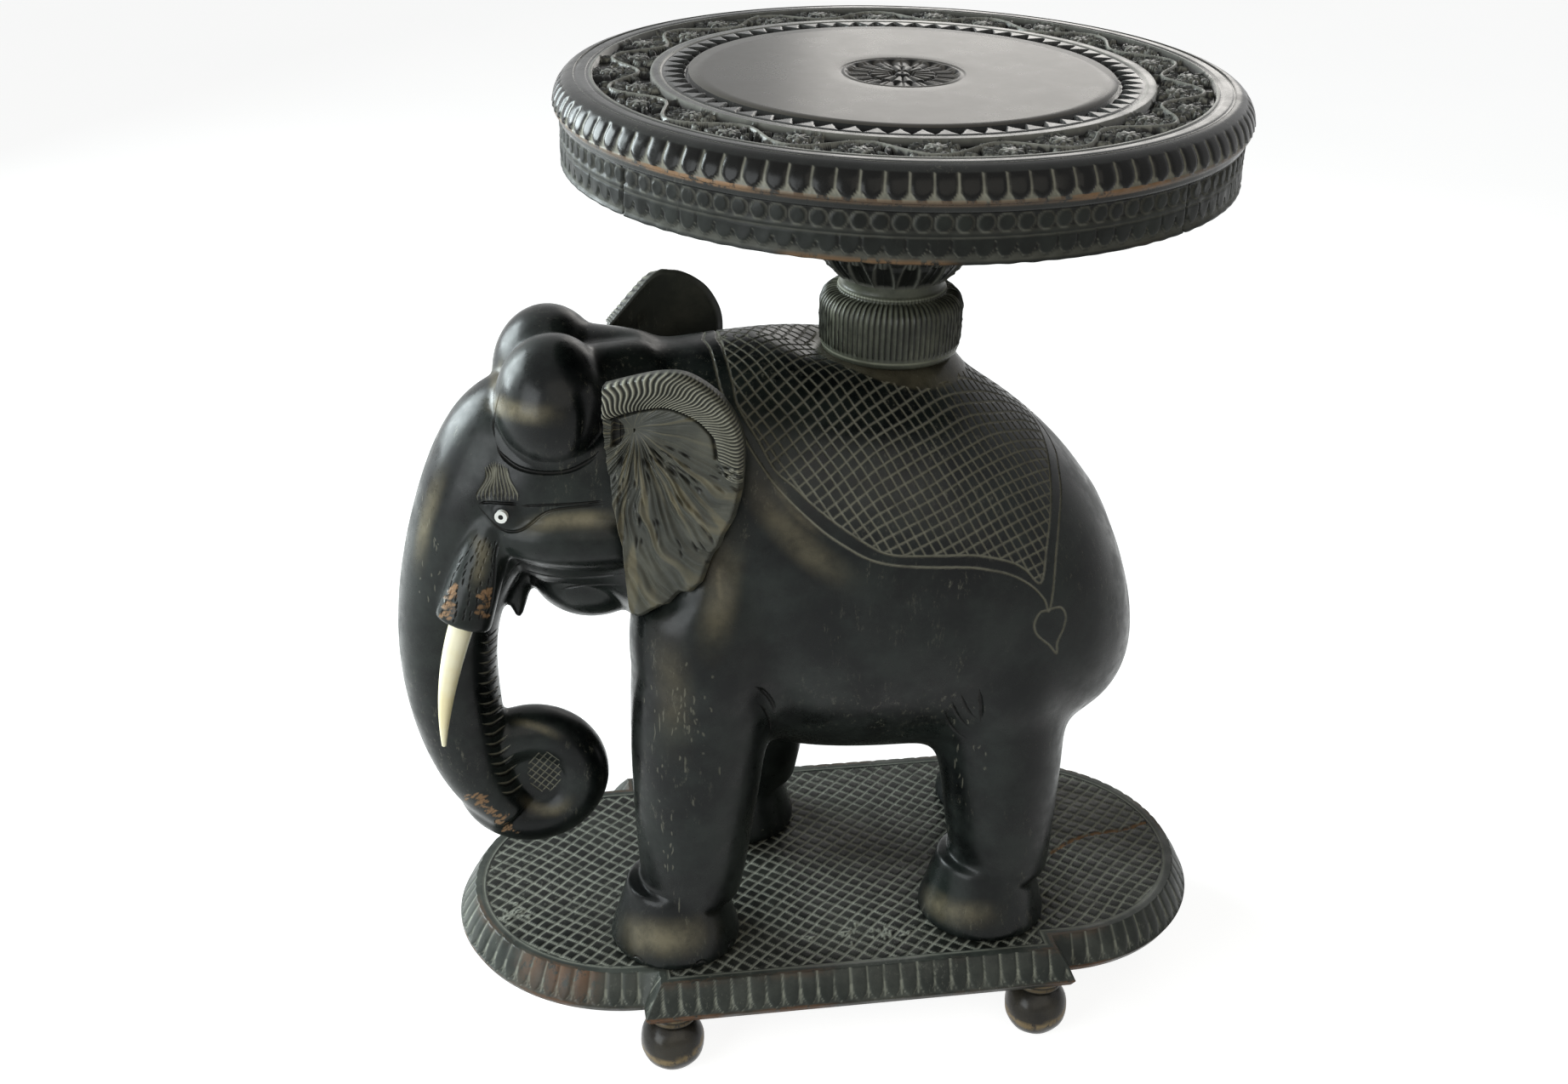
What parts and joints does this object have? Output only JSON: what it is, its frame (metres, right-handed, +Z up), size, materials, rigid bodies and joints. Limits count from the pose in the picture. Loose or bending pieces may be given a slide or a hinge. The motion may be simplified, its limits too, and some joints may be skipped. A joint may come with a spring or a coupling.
{
  "type": "elephant stool",
  "caption": "Carved ebonised elephant with fan ears and bone tusks on an oval footed base, carrying a round carved seat on a fluted drum.",
  "frame": {"origin": "centre of the bounding box at floor level", "axes": "+Z up, the elephant faces -X, its own left side is -Y"},
  "size_m": [0.4528, 0.3372, 0.52],
  "materials": {
    "body_ebonised_wood": "waxed, worn",
    "ear_ebonised_wood": "waxed, worn",
    "carved_ebonised_wood": "waxed, dusty",
    "top_ebonised_wood": "waxed, dusty",
    "fluted_ebonised_wood": "waxed, dusty",
    "base_ebonised_wood": "waxed, worn",
    "turned_ebonised_wood": "worn",
    "plain_wood": "bare",
    "bone": "polished bone",
    "horn": "polished horn"
  },
  "bodies": {
    "root": {"apron_segment_1": "carved_ebonised_wood", "apron_segment_2": "carved_ebonised_wood", "apron_segment_3": "carved_ebonised_wood", "apron_segment_4": "carved_ebonised_wood", "base_board": "base_ebonised_wood", "bun_foot_front_left": "turned_ebonised_wood", "bun_foot_front_right": "turned_ebonised_wood", "bun_foot_rear_left": "turned_ebonised_wood", "bun_foot_rear_right": "turned_ebonised_wood", "ear_left": "ear_ebonised_wood", "ear_right": "ear_ebonised_wood", "elephant_body": "body_ebonised_wood", "eye_pupil_left": "horn", "eye_pupil_right": "horn", "eye_white_left": "bone", "eye_white_right": "bone", "leaf_cup": "carved_ebonised_wood", "leg_dowels": "plain_wood", "pedestal": "fluted_ebonised_wood", "table_top": "top_ebonised_wood", "tusk_left": "bone", "tusk_right": "bone"}
  },
  "joints": []
}
